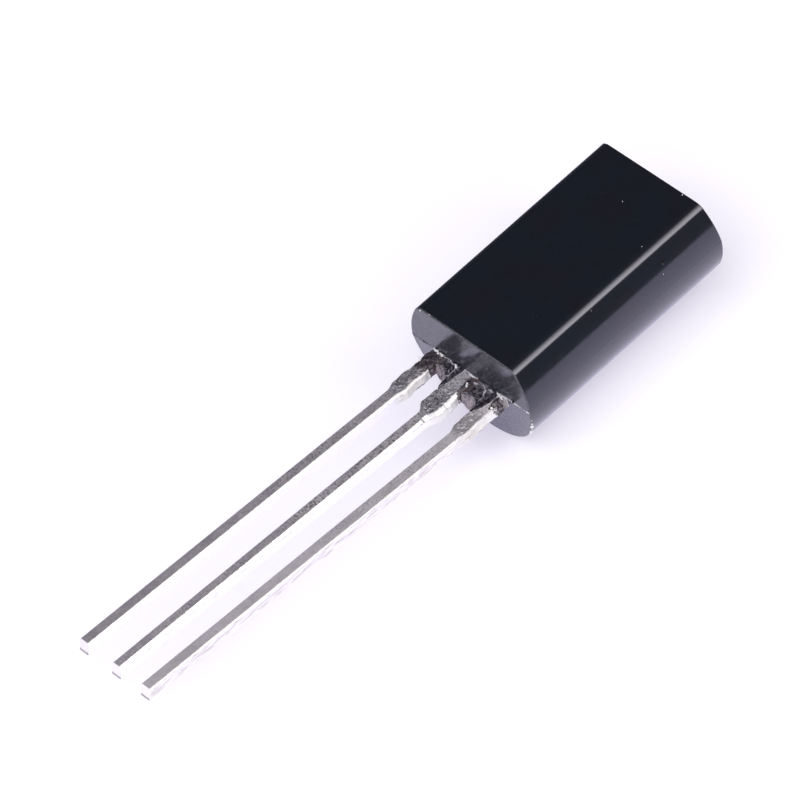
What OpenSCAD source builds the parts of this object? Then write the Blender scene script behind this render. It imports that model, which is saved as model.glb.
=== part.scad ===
// A long-body three-lead transistor, lying on its rounded back with its flat face up.
// X runs along the row of leads, Y from the lead tips to the top of the case, and Z out
// of the flat face. The origin is under the middle of the whole part, where it lies.
// The case is moulded in two halves that meet at the parting plane. That plane holds the
// axis of the rounded back, and the top faces of the lead frame lie in it.

/* [Case] */
// Width of the case, which is also the diameter of its rounded back
case_w = 4.9; // [4:0.05:6]
// Thickness of the case, from the rounded back to the flat face
case_t = 3.9; // [3.2:0.05:4.7]
// Length of the case without its leads
case_l = 8; // [6.6:0.1:9.6]
// Radius where the flat face turns into the round sides
edge_r = 0.4; // [0.15:0.05:0.5]
// How far each end face leans in between the parting plane and the flat face
lean_front = 0.11; // [0.02:0.01:0.25]
// How far each end face leans in between the parting plane and the rounded back
lean_back = 0.14; // [0.02:0.01:0.25]
// Thickness of the resin flash left between the leads
flash_t = 0.33; // [0.05:0.01:0.38]

/* [Leads] */
// Distance from one lead's centre to the next
lead_pitch = 1.27; // [1.05:0.01:1.55]
// Width of a lead below the dam bar
lead_w = 0.38; // [0.3:0.01:0.46]
// Thickness of the lead frame
frame_t = 0.38; // [0.3:0.01:0.46]
// Length of the leads outside the case
lead_l = 14; // [6:0.1:17]
// How far the tips are bent up out of the frame's own plane
tip_lift = 0.85; // [0:0.05:2]
// How far the middle lead lies off the centre of its own root
middle_shift = 0.05; // [-0.1:0.01:0.1]

/* [Lead roots] */
// Width of each outer lead between the case and the dam bar
outer_root_w = 0.46; // [0.46:0.01:0.56]
// Width of the middle lead between the case and the dam bar
middle_root_w = 0.68; // [0.56:0.01:0.82]
// Where the stub of the cut dam bar begins, measured from the case
stub_start = 1.05; // [0.8:0.05:1.3]
// Length of that stub along the lead
stub_l = 0.65; // [0.4:0.05:0.8]
// How far the stub stands out on each side of the root
stub_out = 0.05; // [0.02:0.01:0.08]
// Length over which the stub narrows to the lead
taper_l = 0.24; // [0.1:0.01:0.4]

/* [Inside the case] */
// Depth at which the two bond posts begin, measured from the case's lead end
post_depth = 1.1; // [0.6:0.05:1.3]
// Length of each bond post
post_l = 1; // [0.7:0.05:1.2]
// Gap between a bond post and the middle lead
post_gap = 0.3; // [0.2:0.01:0.36]
// How far a bond post reaches out past its lead
post_ear = 0.2; // [0:0.01:0.24]
// Gap between the bond posts and the die pad
pad_gap = 0.35; // [0.25:0.05:0.45]
// Length of the die pad
pad_l = 2.6; // [2.2:0.1:3.1]
// Width of the die pad
pad_w = 2.3; // [1.9:0.1:2.8]
// Side of the square die
die_w = 1; // [0.8:0.05:1.25]
// Thickness of the die
die_t = 0.22; // [0.15:0.01:0.28]
// Thickness of the solder under the die
solder_t = 0.05; // [0.03:0.01:0.08]
// How far the solder runs out past each side of the die
solder_out = 0.08; // [0.04:0.01:0.12]
// Diameter of the bond wires
wire_d = 0.08; // [0.06:0.01:0.1]
// Height of a bond wire's middle line above the die
loop_h = 0.34; // [0.28:0.01:0.42]
// Bend radius of a bond wire at each end of its run
loop_r = 0.2; // [0.15:0.01:0.25]
// Distance between the two bonds on top of the die
bond_gap = 0.44; // [0.3:0.01:0.56]

/* [Hidden] */

$fn = 96;
resin_black = [0.03, 0.034, 0.045];
tin_grey = [0.72, 0.72, 0.73];
solder_grey = [0.5, 0.5, 0.52];
silicon_grey = [0.26, 0.27, 0.32];
gold = [0.85, 0.66, 0.3];

case_r = case_w / 2;
parting_z = case_r;
flat_z = case_t;
flat_h = flat_z - parting_z;
exit_y = (lead_l - case_l) / 2;
top_y = exit_y + case_l;
tip_y = exit_y - lead_l;

// The edge radius touches the flat face from below and the round side from inside.
edge_z = flat_h - edge_r;
edge_x = sqrt(pow(case_r - edge_r, 2) - pow(edge_z, 2));
touch = case_r / (case_r - edge_r);

// The leads leave their own plane just past the dam bar.
bend_at = stub_start + stub_l + 0.1;
bend_y = exit_y - bend_at;
bend_angle = atan(tip_lift / (lead_l - bend_at));

frame_z = parting_z - frame_t;
post_y = exit_y + post_depth;
post_end_y = post_y + post_l;
pad_y = post_end_y + pad_gap;
pad_end_y = pad_y + pad_l;
die_y = (pad_y + pad_end_y) / 2;
die_z = parting_z + solder_t;
bond_z = die_z + die_t;

// A ball bond sits on the die, and a flat stitch bond on the post.
ball_d = 2 * wire_d;
ball_t = 0.05;
stitch_d = 1.5 * wire_d;
stitch_t = 0.03;

// Depths of the torn edge of the flash in each gap, from left to right.
flash_edges = [
    [0.4, 0.42, 0.45, 0.5, 0.66, 1],
    [0.72, 0.74, 0.75, 0.78, 0.9, 1],
];
past = 1;

// Keeps the given span of Y and Z over the whole width of the part.
module along_x(points) {
    rotate([90, 0, 90])
        linear_extrude(2 * case_w, center = true)
            polygon(points);
}

// The side view of the case: its widest place is the parting plane, and both halves lean in.
module case_side_view() {
    along_x([
        [exit_y, parting_z],
        [exit_y + lean_back, 0],
        [top_y - lean_back, 0],
        [top_y, parting_z],
        [top_y - lean_front, flat_z],
        [exit_y + lean_front, flat_z],
    ]);
}

// What the edge radius takes off the corner between the flat face and one round side.
module edge_cut() {
    rotate([-90, 0, 0])
        translate([0, 0, exit_y - past])
            difference() {
                linear_extrude(case_l + 2 * past)
                    polygon([
                        [edge_x, -edge_z],
                        [edge_x, -flat_h - past],
                        [edge_x + 2 * case_r, -flat_h - past],
                        [edge_x * (1 + touch), -edge_z * (1 + touch)],
                    ]);
                translate([edge_x, -edge_z, -past])
                    cylinder(h = case_l + 4 * past, r = edge_r);
            }
}

// The outside of the case, before anything in it is left out.
module case_outside() {
    intersection() {
        translate([0, exit_y - past, parting_z])
            rotate([-90, 0, 0])
                cylinder(h = case_l + 2 * past, r = case_r);
        case_side_view();
    }
}

// The web of resin between two leads, just below the parting plane.
module flash(left_x, right_x, depths) {
    last = len(depths) - 1;
    torn = [
        for (i = [0 : last])
            [left_x + (right_x - left_x) * i / last, exit_y - depths[i]]
    ];
    translate([0, 0, parting_z - flash_t])
        linear_extrude(flash_t)
            polygon(concat(torn, [[right_x, exit_y + past], [left_x, exit_y + past]]));
}

module both_flashes() {
    outer_x = lead_pitch - outer_root_w / 2;
    inner_x = middle_root_w / 2;
    flash(-outer_x, -inner_x, flash_edges[0]);
    flash(inner_x, outer_x, flash_edges[1]);
}

module body() {
    color(resin_black)
        difference() {
            union() {
                difference() {
                    case_outside();
                    translate([0, 0, parting_z]) {
                        edge_cut();
                        mirror([1, 0, 0]) edge_cut();
                    }
                }
                both_flashes();
            }
            emitter_lead();
            collector_lead();
            base_lead();
            die();
            die_solder();
            emitter_wire();
            base_wire();
        }
}

// One side of a lead seen from above, from the case out to the tip. The side is 1 for
// the right edge and -1 for the left.
function lead_edge(x, root_w, shift, side) = [
    [x + side * root_w / 2, exit_y - stub_start],
    [x + side * (root_w / 2 + stub_out), exit_y - stub_start],
    [x + side * (root_w / 2 + stub_out), exit_y - stub_start - stub_l],
    [x + shift + side * lead_w / 2, exit_y - stub_start - stub_l - taper_l],
    [x + shift + side * lead_w / 2, tip_y],
];

function backwards(points) = [for (i = [len(points) - 1 : -1 : 0]) points[i]];

// A lead is stamped from sheet, and bent a little past the dam bar. The first points are
// its part inside the case, from its right edge at the exit round to its left edge.
module lead(x, root_w, shift, inside) {
    bottom_bend_y = bend_y - frame_t * tan(bend_angle / 2);
    tip_top = parting_z + tip_lift;
    color(tin_grey)
        intersection() {
            linear_extrude(tip_top + past)
                polygon(concat(
                    inside,
                    lead_edge(x, root_w, shift, -1),
                    backwards(lead_edge(x, root_w, shift, 1))
                ));
            along_x([
                [top_y, parting_z],
                [top_y, frame_z],
                [bottom_bend_y, frame_z],
                [tip_y, tip_top - frame_t / cos(bend_angle)],
                [tip_y, tip_top],
                [bend_y, parting_z],
            ]);
        }
}

// An outer lead ends in a bond post, which reaches in towards the middle lead.
function post_outline(side) = let (
    x = side * lead_pitch,
    in_x = side * (middle_root_w / 2 + post_gap),
    out_x = side * (lead_pitch + outer_root_w / 2 + post_ear)
) side > 0 ? [
    [x + outer_root_w / 2, post_y],
    [out_x, post_y],
    [out_x, post_end_y],
    [in_x, post_end_y],
    [in_x, post_y],
    [x - outer_root_w / 2, post_y],
] : [
    [x + outer_root_w / 2, post_y],
    [in_x, post_y],
    [in_x, post_end_y],
    [out_x, post_end_y],
    [out_x, post_y],
    [x - outer_root_w / 2, post_y],
];

module emitter_lead() {
    lead(-lead_pitch, outer_root_w, 0, post_outline(-1));
}

module base_lead() {
    lead(lead_pitch, outer_root_w, 0, post_outline(1));
}

// The middle lead carries the die on a wide pad.
module collector_lead() {
    lead(0, middle_root_w, middle_shift, [
        [middle_root_w / 2, pad_y],
        [pad_w / 2, pad_y],
        [pad_w / 2, pad_end_y],
        [-pad_w / 2, pad_end_y],
        [-pad_w / 2, pad_y],
        [-middle_root_w / 2, pad_y],
    ]);
}

module die_solder() {
    side = die_w + 2 * solder_out;
    color(solder_grey)
        translate([-side / 2, die_y - side / 2, parting_z])
            cube([side, side, solder_t]);
}

module die() {
    color(silicon_grey)
        translate([-die_w / 2, die_y - die_w / 2, die_z])
            cube([die_w, die_w, die_t]);
}

// A quarter turn of wire that starts upwards at the origin and ends along +X.
module quarter_turn() {
    translate([loop_r, 0, 0])
        rotate([90, 0, 0])
            rotate([0, 0, 90])
                rotate_extrude(angle = 90)
                    translate([loop_r, 0])
                        circle(d = wire_d, $fn = 32);
}

// A bond wire rises from the die, runs level to its post and comes down on it.
module bond_wire(side) {
    start = [side * bond_gap / 2, die_y - die_w / 4];
    post_x = (middle_root_w / 2 + post_gap + lead_pitch + outer_root_w / 2 + post_ear) / 2;
    stop = [side * post_x, (post_y + post_end_y) / 2];
    run = norm(stop - start);
    turn = atan2(stop[1] - start[1], stop[0] - start[0]);
    top_z = bond_z + loop_h;
    color(gold)
        translate([start[0], start[1], 0])
            rotate([0, 0, turn]) {
                translate([0, 0, bond_z])
                    cylinder(h = ball_t, d = ball_d, $fn = 32);
                translate([0, 0, bond_z])
                    cylinder(h = loop_h - loop_r, d = wire_d, $fn = 32);
                translate([0, 0, top_z - loop_r])
                    quarter_turn();
                translate([loop_r, 0, top_z])
                    rotate([0, 90, 0])
                        cylinder(h = run - 2 * loop_r, d = wire_d, $fn = 32);
                translate([run, 0, top_z - loop_r])
                    mirror([1, 0, 0])
                        quarter_turn();
                translate([run, 0, parting_z])
                    cylinder(h = top_z - loop_r - parting_z, d = wire_d, $fn = 32);
                translate([run, 0, parting_z])
                    cylinder(h = stitch_t, d = stitch_d, $fn = 32);
            }
}

module emitter_wire() {
    bond_wire(-1);
}

module base_wire() {
    bond_wire(1);
}

body();
emitter_lead();
collector_lead();
base_lead();
die();
die_solder();
emitter_wire();
base_wire();
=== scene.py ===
"""The looks of a long-body three-lead transistor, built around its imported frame.

Everything is in metres and in the frame of the part: +Z comes out of the flat face, +Y runs
along the case away from the leads, and X runs along the row of leads.
"""

import logging
import math
from collections.abc import Callable, Iterable, Sequence
from dataclasses import dataclass, field
from enum import Enum
from typing import Any

import bmesh
import bpy
from mathutils import Matrix, Vector, noise


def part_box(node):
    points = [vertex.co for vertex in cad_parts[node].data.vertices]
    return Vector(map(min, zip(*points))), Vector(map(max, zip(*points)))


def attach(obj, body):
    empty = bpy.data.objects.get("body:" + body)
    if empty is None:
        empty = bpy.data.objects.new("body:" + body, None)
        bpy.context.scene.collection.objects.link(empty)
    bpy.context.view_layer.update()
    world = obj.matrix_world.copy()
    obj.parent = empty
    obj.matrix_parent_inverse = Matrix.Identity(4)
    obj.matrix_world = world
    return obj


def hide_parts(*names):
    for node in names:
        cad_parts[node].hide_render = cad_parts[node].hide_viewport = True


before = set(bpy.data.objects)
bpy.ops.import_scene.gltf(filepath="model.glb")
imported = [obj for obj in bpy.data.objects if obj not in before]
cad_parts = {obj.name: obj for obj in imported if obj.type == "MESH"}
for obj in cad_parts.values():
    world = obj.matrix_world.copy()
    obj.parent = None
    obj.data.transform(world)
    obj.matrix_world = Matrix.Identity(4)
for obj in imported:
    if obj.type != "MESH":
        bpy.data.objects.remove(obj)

log = logging.getLogger("transistor")

MM = 0.001
Pair = tuple[float, float]
Point = Colour = tuple[float, float, float]
Row = tuple[float, ...]
Face = tuple[int, ...]
Inputs = dict[str | int, Any]
Piece, Material, Socket = bpy.types.Object, bpy.types.Material, bpy.types.NodeSocket


class Side(Enum):
    """A side of a lead, seen from the flat face with the leads down."""

    LEFT = -1
    RIGHT = 1


def mm(*lengths: float) -> Row:
    """Lengths given in millimetres, in metres."""
    return tuple(length * MM for length in lengths)


def table_mm(*rows: Sequence[float]) -> tuple[Row, ...]:
    """Rows of lengths given in millimetres, in metres."""
    return tuple(mm(*row) for row in rows)


def clamp(value: float) -> float:
    """The nearest number from 0 to 1."""
    return min(1.0, max(0.0, value))


def smooth(low: float, high: float, value: float) -> float:
    """Rises smoothly from 0 at low to 1 at high, which may lie below low for a fall."""
    share = clamp((value - low) / (high - low))
    return share * share * (3 - 2 * share)


def bell(offset: float, reach: float) -> float:
    """A bell curve: 1 where offset is 0, and about a third at the reach."""
    return math.exp(-(offset / reach) ** 2)


def rough(place: Sequence[float], grain: float = 1.0) -> float:
    """Smooth noise from -1 to 1 at a place, with patches of the size grain."""
    return noise.noise(Vector(place) / grain)


def through(stops: Sequence[Pair], at: float) -> float:
    """Follows a few stops with smooth steps between them.

    Args:
        stops: Pairs of place and value, in rising order of place.
        at: The place to work out.

    Returns:
        The value there. It stays level before the first stop and after the last one.
    """
    value = stops[0][1]
    for (start, low), (end, high) in zip(stops, stops[1:]):
        if at > start:
            value = low + (high - low) * smooth(start, end, at)
    return value


# ---------------------------------------------------------------- node trees


def operator(operation: str) -> tuple[Callable[..., "Value"], Callable[..., "Value"]]:
    """Makes an arithmetic operator of Value from an operation of the Math node.

    Args:
        operation: The Math node's operation.

    Returns:
        The operator's method and its reflected form.
    """
    def forward(this: "Value", other: "Value | float") -> "Value":
        """The operation with this first."""
        return this.math(operation, this, other)

    def reflected(this: "Value", other: float) -> "Value":
        """The operation with this last."""
        return this.math(operation, other, this)

    return forward, reflected


class Value:
    """A number socket of a node tree that takes part in Python expressions."""

    __add__, __radd__ = operator("ADD")
    __sub__, __rsub__ = operator("SUBTRACT")
    __mul__, __rmul__ = operator("MULTIPLY")
    __truediv__, __rtruediv__ = operator("DIVIDE")

    def __init__(self, graph: "Graph", socket: Socket) -> None:
        """Keeps the graph that new Math nodes go to, and the socket."""
        self.graph = graph
        self.socket = socket

    def math(self, operation: str, *operands: "Value | float") -> "Value":
        """Adds a Math node with the operands and gives its result."""
        return self.graph.value("ShaderNodeMath", 0, {"operation": operation}, dict(enumerate(operands)))

    def __abs__(self) -> "Value":
        """The size of this without its sign."""
        return self.math("ABSOLUTE", self)

    def at_most(self, other: "Value | float") -> "Value":
        """The smaller of both."""
        return self.math("MINIMUM", self, other)

    def at_least(self, other: "Value | float") -> "Value":
        """The larger of both."""
        return self.math("MAXIMUM", self, other)

    def ramp(self, low: float, high: float, start: float = 0.0, end: float = 1.0) -> "Value":
        """Steps smoothly from start, where this is low, to end, where this is high."""
        return self.graph.value("ShaderNodeMapRange", 0, {"interpolation_type": "SMOOTHSTEP"}, {
            "Value": self, "From Min": low, "From Max": high, "To Min": start, "To Max": end})


class Graph:
    """Builds nodes in one shader or geometry tree."""

    place: Socket

    def __init__(self, tree: bpy.types.NodeTree) -> None:
        """Keeps the tree, which it empties first."""
        self.tree = tree
        tree.nodes.clear()

    def node(self, kind: str, settings: dict[str, Any] | None = None,
             inputs: Inputs | None = None) -> bpy.types.Node:
        """Adds one node.

        Args:
            kind: The node's type.
            settings: Its own settings, which are set first.
            inputs: Its sockets by name or number, each with a number, a colour, a socket or a Value.

        Returns:
            The node.
        """
        made = self.tree.nodes.new(kind)
        for name, value in (settings or {}).items():
            setattr(made, name, value)
        for name, value in (inputs or {}).items():
            socket = made.inputs[name]
            if isinstance(value, Value):
                value = value.socket
            if isinstance(value, Socket):
                self.tree.links.new(value, socket)
            else:
                socket.default_value = (*value, 1.0) if socket.type == "RGBA" else value
        return made

    def output(self, kind: str, inputs: Inputs | None = None,
               settings: dict[str, Any] | None = None) -> Socket:
        """Adds one node and gives the socket of its first output."""
        return self.node(kind, settings, inputs).outputs[0]

    def value(self, kind: str, output: str | int = 0, settings: dict[str, Any] | None = None,
              inputs: Inputs | None = None) -> Value:
        """Adds one node and wraps one of its outputs, given by name or number."""
        return Value(self, self.node(kind, settings, inputs).outputs[output])

    def mix(self, share: Value | float, first: Any, second: Any, blend: str = "MIX") -> Socket:
        """Mixes two colours.

        Args:
            share: 0 for the first colour and 1 for the second.
            first: A colour or a colour socket.
            second: A colour or a colour socket.
            blend: How the second colour is laid on the first.

        Returns:
            The mixed colour's socket.
        """
        settings = {"data_type": "RGBA", "blend_type": blend, "clamp_result": True}
        return self.node("ShaderNodeMix", settings, {0: share, 6: first, 7: second}).outputs[2]

    def noise(self, grain: Value | float, detail: float = 2.0, roughness: float = 0.5,
              distortion: float = 0.0, place: Socket | None = None) -> Value:
        """Adds a noise texture.

        Args:
            grain: The size of its patches, in metres.
            detail: How many finer octaves it has.
            roughness: How strong the finer octaves are.
            distortion: How much it is swirled.
            place: The coordinates, in metres, if not those of the surface.

        Returns:
            The noise, from 0 to 1.
        """
        return self.value("ShaderNodeTexNoise", inputs={
            "Vector": place or self.place, "Scale": 1.0 / grain, "Detail": detail,
            "Roughness": roughness, "Distortion": distortion})


class Surface(Graph):
    """The node tree of one material."""

    def __init__(self, name: str) -> None:
        """Makes the material with an empty tree.

        Args:
            name: The material's name.
        """
        self.material = bpy.data.materials.new(name)
        self.material.use_nodes = True
        super().__init__(self.material.node_tree)
        self.place = self.node("ShaderNodeTexCoord").outputs["Object"]

    def along_y(self, start: float, end: float, low: float = 0.0, high: float = 1.0) -> Value:
        """Steps smoothly from low to high between two places along the part."""
        place = self.value("ShaderNodeSeparateXYZ", "Y", inputs={"Vector": self.place})
        return place.ramp(start, end, low, high)

    def attribute(self, name: str) -> Value:
        """A number that the mesh holds at each vertex."""
        return self.value("ShaderNodeAttribute", "Fac", {"attribute_name": name})

    def stretched(self, scale: Point) -> Socket:
        """The place on the surface, scaled along each axis."""
        return self.output("ShaderNodeMapping", {"Vector": self.place, "Scale": scale})

    def bump(self, height: Value, depth: float, strength: float = 1.0,
             normal: Socket | None = None) -> Socket:
        """Adds a bump.

        Args:
            height: The height, from 0 to 1.
            depth: The depth of the whole height, in metres.
            strength: How strongly it turns the normal.
            normal: An earlier bump that it goes on top of.

        Returns:
            The normal's socket.
        """
        inputs: Inputs = {"Height": height, "Distance": depth, "Strength": strength}
        if normal is not None:
            inputs["Normal"] = normal
        return self.output("ShaderNodeBump", inputs)

    def principled(self, **inputs: Any) -> Socket:
        """Adds a Principled BSDF, whose sockets the arguments name with _ for a space."""
        names = {key.replace("_", " "): value for key, value in inputs.items()}
        return self.output("ShaderNodeBsdfPrincipled", names)

    def finish(self, shader: Socket) -> Material:
        """Links the shader to the output and returns the material."""
        self.node("ShaderNodeOutputMaterial", inputs={"Surface": shader})
        return self.material


class Recipe(Graph):
    """A geometry node tree with named inputs, which is run on an object and then baked."""

    def __init__(self, name: str, *sizes: str) -> None:
        """Makes the tree.

        Args:
            name: The tree's name.
            sizes: Names of its number inputs.
        """
        tree = bpy.data.node_groups.new(name, "GeometryNodeTree")
        super().__init__(tree)
        tree.interface.new_socket("Geometry", in_out="OUTPUT", socket_type="NodeSocketGeometry")
        kinds = {"Geometry": "Geometry", **dict.fromkeys(sizes, "Float"), "Material": "Material"}
        for given, kind in kinds.items():
            tree.interface.new_socket(given, in_out="INPUT", socket_type=f"NodeSocket{kind}")
        self.given = self.node("NodeGroupInput")
        self.geometry = self.given.outputs["Geometry"]
        self.place = self.output("GeometryNodeInputPosition")

    def size(self, name: str) -> Value:
        """One of the named number inputs."""
        return Value(self, self.given.outputs[name])

    def field(self, name: str) -> Value:
        """A number that the mesh holds at each vertex."""
        return self.value("GeometryNodeInputNamedAttribute", "Attribute",
                          {"data_type": "FLOAT"}, {"Name": name})

    def scaled(self, vector: Socket, by: Value) -> Socket:
        """A vector times a number."""
        return self.output("ShaderNodeVectorMath", {0: vector, "Scale": by}, {"operation": "SCALE"})

    def pushed_out(self, geometry: Socket, by: Value) -> Socket:
        """Moves each point of a geometry along its normal.

        Args:
            geometry: The geometry.
            by: How far each point goes, in metres.

        Returns:
            The moved geometry.
        """
        normal = self.output("GeometryNodeInputNormal")
        return self.output("GeometryNodeSetPosition", {
            "Geometry": geometry, "Offset": self.scaled(normal, by)})

    def close(self, geometry: Socket) -> "Recipe":
        """Ends the tree: instances are made real and take the material.

        Args:
            geometry: What the tree has made.

        Returns:
            The recipe itself.
        """
        real = self.output("GeometryNodeRealizeInstances", {"Geometry": geometry})
        dressed = self.output("GeometryNodeSetMaterial", {
            "Geometry": real, "Material": self.given.outputs["Material"]})
        self.node("NodeGroupOutput", inputs={"Geometry": dressed})
        return self

    def run(self, piece: Piece, material: Material, **sizes: float) -> Piece:
        """Runs the tree on an object and bakes the result into its mesh.

        Args:
            piece: The object that the tree starts from.
            material: What the result is dressed in.
            sizes: The named inputs, with _ for a space.

        Returns:
            The same object with its new mesh and no modifier.
        """
        modifier = piece.modifiers.new(self.tree.name, "NODES")
        modifier.node_group = self.tree
        given: dict[str, Any] = {key.replace("_", " "): value for key, value in sizes.items()}
        given["Material"] = material
        for item in self.tree.interface.items_tree:
            if item.in_out == "INPUT" and item.name in given:
                modifier[item.identifier] = given[item.name]
        return bake(piece)


# ---------------------------------------------------------------- meshes


def bake(piece: Piece) -> Piece:
    """Applies every modifier of a piece to its mesh.

    Args:
        piece: The object.

    Returns:
        The same object with its new mesh and no modifiers.
    """
    graph = bpy.context.evaluated_depsgraph_get()
    baked = bpy.data.meshes.new_from_object(piece.evaluated_get(graph))
    piece.modifiers.clear()
    old = piece.data
    piece.data = baked
    bpy.data.meshes.remove(old)
    return piece


def add_object(name: str, points: Sequence[Point], faces: Sequence[Face],
               material: Material | None = None,
               edges: Sequence[tuple[int, int]] = ()) -> Piece:
    """Makes a smooth-shaded mesh object at the origin.

    Args:
        name: The object's name.
        points: Its vertices, in metres.
        faces: Its faces, as numbers of vertices.
        material: Its material.
        edges: Edges that belong to no face.

    Returns:
        The object, linked to the scene, with its faces turned outwards.
    """
    mesh = bpy.data.meshes.new(name)
    mesh.from_pydata(points, edges, faces)
    turned = bmesh.new()
    turned.from_mesh(mesh)
    bmesh.ops.recalc_face_normals(turned, faces=turned.faces)
    turned.to_mesh(mesh)
    turned.free()
    mesh.shade_smooth()
    piece = bpy.data.objects.new(name, mesh)
    bpy.context.scene.collection.objects.link(piece)
    if material:
        mesh.materials.append(material)
    return piece


def set_fields(piece: Piece, fields: dict[str, Sequence[float]], domain: str = "POINT") -> None:
    """Stores numbers on a mesh by name, one for each vertex, or for each face where domain is FACE."""
    for name, values in fields.items():
        piece.data.attributes.new(name, "FLOAT", domain).data.foreach_set("value", values)


def rows_to_faces(rows: int, width: int) -> list[Face]:
    """Joins rings of points with quads.

    Args:
        rows: How many rings there are.
        width: How many points a ring has.

    Returns:
        The quads.
    """
    found = []
    for start in range(0, (rows - 1) * width, width):
        for column in range(start, start + width):
            beside = start + (column + 1 - start) % width
            found.append((column, beside, beside + width, column + width))
    return found


def add_tube(name: str, points: Sequence[Point], width: int, fields: dict[str, Sequence[float]],
             material: Material) -> Piece:
    """Makes a closed object from rings of points.

    Args:
        name: The object's name.
        points: The points, ring after ring.
        width: How many points a ring has.
        fields: Numbers by name, one for each point.
        material: Its material.

    Returns:
        The object, with a face over each of its two ends.
    """
    count = len(points)
    faces = rows_to_faces(count // width, width)
    faces += [tuple(range(width)), tuple(range(count - width, count))]
    tube = add_object(name, points, faces, material)
    set_fields(tube, fields)
    return tube


def place_piece(piece: Piece, slot: str, *nodes: str) -> None:
    """Fixes a finished piece to the frame.

    Args:
        piece: The finished object.
        slot: The record's material slot. It is not used.
        nodes: The CAD nodes that it stands for.
    """
    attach(piece, "root")
    if nodes:
        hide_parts(*nodes)
    log.info("%s: %d faces", piece.name, len(piece.data.polygons))


# ---------------------------------------------------------------- finishes


def dimmed(colour: Colour, by: float) -> Colour:
    """A colour times a number."""
    return tuple(part * by for part in colour)


@dataclass(frozen=True)
class Resin:
    """Glossy blue-black moulded epoxy, with fine grain, faint smudges, pale worn edges, and a pale lavender
    film on its front end faces that is partly painted reflection.
    """

    black: Colour = (0.0032, 0.0062, 0.0130)
    brown: Colour = (0.0048, 0.0058, 0.0105)
    fleck: Colour = (0.0030, 0.0026, 0.0050)
    pale: Colour = (0.085, 0.085, 0.100)
    # A pale lavender film on the front end faces: partly the resin's own film, partly painted reflection of
    # the table.
    film: Colour = (0.060, 0.058, 0.080)
    shine: Colour = (0.85, 0.83, 1.0)
    ior: float = 1.62
    gloss: float = 0.09
    smudge: float = 0.07
    veil: float = 0.35
    veil_roughness: float = 0.5
    haze: float = 0.08
    haze_reach: float = 2.6 * MM
    grain: float = 0.035 * MM
    grain_depth: float = 0.0011 * MM
    wave: float = 0.9 * MM
    wave_depth: float = 0.0012 * MM

    def material(self) -> Material:
        """Builds the material of the case.

        Returns:
            The material, which reads the fields worn and film; film marks the front end faces, whose pale
            lavender film is partly painted reflection.
        """
        tree = Surface("moulded_resin")
        cloud = tree.noise(1.4 * MM, 3.0)
        flecks = tree.noise(0.12 * MM, 3.0, 0.6)
        colour = tree.mix(cloud.ramp(0.42, 0.62), self.black, self.brown)
        colour = tree.mix(flecks.ramp(0.58, 0.68) * 0.8, colour, self.fleck)
        rub = tree.noise(0.09 * MM, 3.0, 0.65)
        worn = (tree.attribute("worn") * (0.35 + rub)).ramp(0.5, 0.95)
        smudge = tree.noise(0.5 * MM, 4.0, 0.6)
        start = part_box("body")[0].y + self.haze_reach / 4
        haze = tree.along_y(start + self.haze_reach, start) * smudge.ramp(0.35, 0.6)
        fine = tree.bump(tree.noise(self.grain, 2.0, 0.6), self.grain_depth, 1.0)
        # Painted reflection: the front end faces get the pale lavender film, mottled like smoke, which lifts
        # them and tints them like the reflected table.
        painted_reflection_mottle = tree.noise(0.2 * MM, 3.0, 0.6, 1.5).ramp(0.45, 0.68, 0.3, 1.0)
        colour = tree.mix(tree.attribute("film") * painted_reflection_mottle, colour, self.film)
        return tree.finish(tree.principled(
            Base_Color=tree.mix(worn, colour, self.pale),
            Roughness=self.gloss + self.smudge * smudge.ramp(0.45, 0.8) + worn * 0.3 + self.haze * haze,
            IOR=self.ior,
            Specular_Tint=self.shine,
            Coat_Weight=self.veil,
            Coat_Roughness=self.veil_roughness,
            Normal=tree.bump(tree.noise(self.wave, 1.0), self.wave_depth, normal=fine),
        ))


@dataclass(frozen=True)
class FlashResin:
    """Glossy resin that squeezed out between the leads, clouded, with pale stress-whitened creases."""

    dark: Colour = (0.011, 0.008, 0.014)
    milk: Colour = (0.115, 0.105, 0.125)
    brown: Colour = (0.060, 0.042, 0.046)
    white: Colour = (0.46, 0.44, 0.50)
    cut: Colour = (0.35, 0.30, 0.35)
    shine: Colour = (0.85, 0.83, 1.0)
    ior: float = 1.62

    def material(self) -> Material:
        """Builds the material of the webs between the leads.

        Returns:
            The material, which reads the fields crease, milk, residue and cut.
        """
        tree = Surface("flash_resin")
        patch = tree.noise(0.12 * MM, 3.0, 0.6, 0.8)
        cloud = tree.noise(0.15 * MM, 2.5, 0.55, 1.2)
        colour = tree.mix(cloud.ramp(0.40, 0.60) * tree.attribute("milk"), self.dark, self.milk)
        colour = tree.mix((tree.attribute("residue") + patch - 0.5).ramp(0.4, 0.9), colour, self.brown)
        cut = tree.attribute("cut") * cloud.ramp(0.36, 0.56, 0.2, 1.0) * patch.ramp(0.36, 0.54, 0.5, 1.0)
        colour = tree.mix(cut, colour, self.cut)
        crack = tree.noise(0.06 * MM, 2.0, 0.6, 0.4)
        crease = (tree.attribute("crease") + (crack - 0.5) * 0.7).ramp(0.45, 0.9)
        return tree.finish(tree.principled(
            Base_Color=tree.mix(crease, colour, self.white),
            Roughness=0.12 + cloud.ramp(0.4, 0.7) * 0.2 + crease * 0.2,
            IOR=self.ior,
            Specular_Tint=self.shine,
            Normal=tree.bump(tree.noise(0.13 * MM, 2.0, 0.5, 1.0), 0.012 * MM),
        ))


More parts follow.
